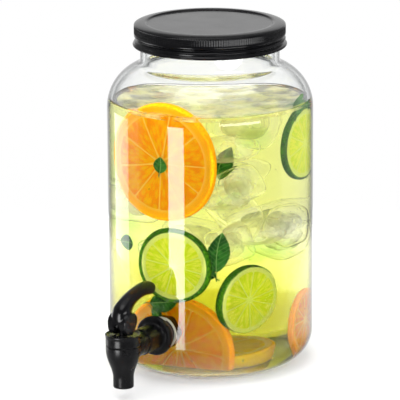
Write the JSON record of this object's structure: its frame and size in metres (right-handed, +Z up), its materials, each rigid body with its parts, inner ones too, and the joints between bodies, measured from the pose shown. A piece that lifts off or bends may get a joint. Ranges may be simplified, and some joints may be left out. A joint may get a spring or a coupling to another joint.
{
  "type": "beverage dispenser",
  "caption": "Glass jar drink dispenser with a black screw lid and a black lever tap near its base.",
  "frame": {"origin": "centre of the foot, on the jar's axis, at the height of the surface it stands on", "axes": "+Z up along the jar's axis, -Y towards the tap, +X to the right as seen from the tap"},
  "size_m": [0.156, 0.217, 0.262],
  "materials": {
    "clear_glass": "clear, polished",
    "black_enamel": "satin enamel on tinplate",
    "white_liner": "soft foam liner",
    "black_plastic": "satin moulded",
    "black_lever": "gloss moulded",
    "black_stem": "moulded",
    "black_rubber": "matte",
    "white_plastic": "moulded",
    "steel_wire": "bright stainless"
  },
  "bodies": {
    "jar": {"glass_jar": "clear_glass", "spigot_body": "black_plastic", "spigot_shank": "black_plastic", "shank_o_ring": "black_rubber", "retaining_ring": "steel_wire", "outer_washer": "black_rubber", "inner_washer": "black_rubber", "slip_washer": "white_plastic", "lock_nut": "black_plastic", "bonnet": "black_plastic", "bonnet_gasket": "black_rubber", "stem_o_ring": "black_rubber", "spring_washer": "steel_wire", "valve_spring": "steel_wire"},
    "liner": {"lid_liner": "white_liner"},
    "lid": {"lid_shell": "black_enamel"},
    "stem": {"valve_stem": "black_stem", "seat_cup": "black_rubber", "lever_pin": "steel_wire"},
    "lever": {"lever_handle": "black_lever"}
  },
  "joints": [
    {"name": "lid_rise", "type": "slide", "parent": "jar", "child": "liner", "axis": [0, 0, 1], "range_m": [0, 0.02032]},
    {"name": "lid_turn", "type": "hinge", "parent": "liner", "child": "lid", "pos_m": [0, 0, 0.25], "axis": [0, 0, 1], "range_deg": [0, 1440]},
    {"name": "stem_lift", "type": "slide", "parent": "jar", "child": "stem", "axis": [0, 0, 1], "range_m": [0, 0.00307], "stiffness_N_per_m": 400, "springref_m": -0.0075, "deforming": ["valve_spring"]},
    {"name": "lever_tilt", "type": "hinge", "parent": "stem", "child": "lever", "pos_m": [0, -0.126, 0.0554], "axis": [1, 0, 0], "range_deg": [0, 80]}
  ],
  "couplings": [
    {"joint": "lid_rise", "follows": "lid_turn", "m_per_rad": 0.0008085},
    {"joint": "lever_tilt", "follows": "stem_lift", "rad_per_m": 454.5}
  ]
}
